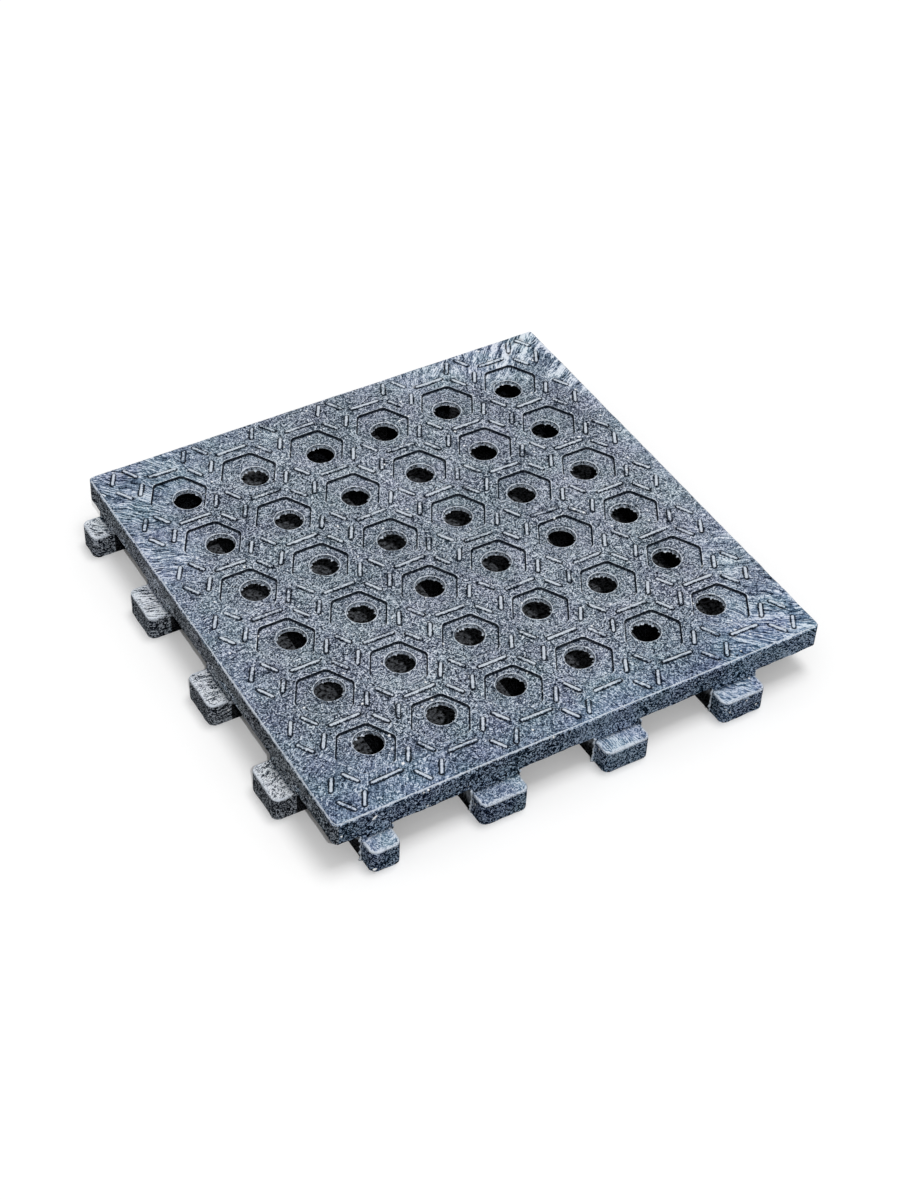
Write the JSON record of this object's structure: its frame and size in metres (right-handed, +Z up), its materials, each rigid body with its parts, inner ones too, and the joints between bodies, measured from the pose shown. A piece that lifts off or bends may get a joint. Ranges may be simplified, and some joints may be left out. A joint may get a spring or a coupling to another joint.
{
  "type": "paddock grid tile",
  "caption": "Square interlocking paving tile of recycled plastic with drain holes, a raised hexagon tread and feet, for stabilising horse paddocks.",
  "frame": {"origin": "middle of the square plate in plan, on the ground that the feet stand on", "axes": "+Z up out of the tread, +X towards the right edge that has sockets, +Y towards the back edge that has sockets; the locking tabs reach out towards -X and -Y"},
  "size_m": [0.416, 0.416, 0.0441],
  "materials": {
    "recycled_plastic": "matt moulded recycled plastic, mottled blue-grey with pale flow streaks and a fine grain"
  },
  "bodies": {
    "root": {"grid_tile": "recycled_plastic"}
  },
  "joints": []
}
